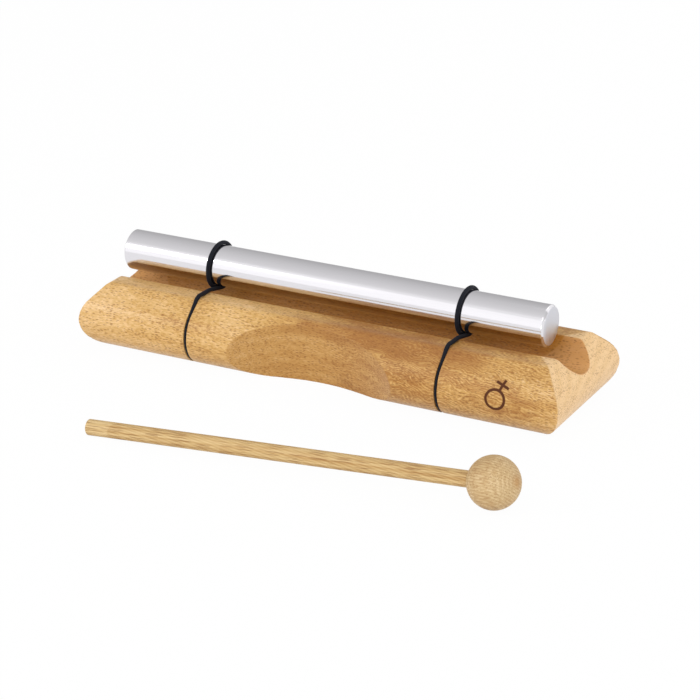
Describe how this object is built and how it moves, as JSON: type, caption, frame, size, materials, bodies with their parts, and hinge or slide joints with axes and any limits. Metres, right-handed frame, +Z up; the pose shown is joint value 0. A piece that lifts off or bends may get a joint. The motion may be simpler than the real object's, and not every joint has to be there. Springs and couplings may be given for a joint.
{
  "type": "chime bar with mallet",
  "caption": "Tabletop chime bar: a round metal tone bar slung in elastic cords over a moulded wooden base, with a round-headed wooden mallet lying in front.",
  "frame": {"origin": "middle of the wooden base's underside, on the surface that it stands on", "axes": "+X along the tone bar, -Y towards the player and the mallet, +Z up"},
  "size_m": [0.2662, 0.1623, 0.054],
  "materials": {
    "base_wood": "oiled light hardwood with fine dark flecks",
    "bar_metal": "polished",
    "elastic_cord": "braided black-blue elastic cord",
    "mallet_wood": "smooth light hardwood"
  },
  "bodies": {
    "base": {"wooden_base": "base_wood", "left_cord_knot": "elastic_cord", "right_cord_knot": "elastic_cord"},
    "cord_loops": {"left_cord": "elastic_cord", "right_cord": "elastic_cord"},
    "bar": {"tone_bar": "bar_metal"},
    "mallet": {"mallet_stick": "mallet_wood", "mallet_head": "mallet_wood"}
  },
  "joints": [
    {"name": "bar_bounce", "type": "slide", "parent": "base", "child": "cord_loops", "axis": [0, 0, 1], "range_m": [-0.003, 0.003], "stiffness_N_per_m": 1500, "springref_m": 0.00126, "deforming": ["left_cord", "right_cord"]},
    {"name": "bar_spin", "type": "hinge", "parent": "cord_loops", "child": "bar", "pos_m": [-0.005, 0, 0.0418], "axis": [1, 0, 0], "continuous": true},
    {"name": "mallet_lift", "type": "slide", "parent": "base", "child": "mallet", "axis": [0, 0, 1], "range_m": [0, 0.12]}
  ]
}
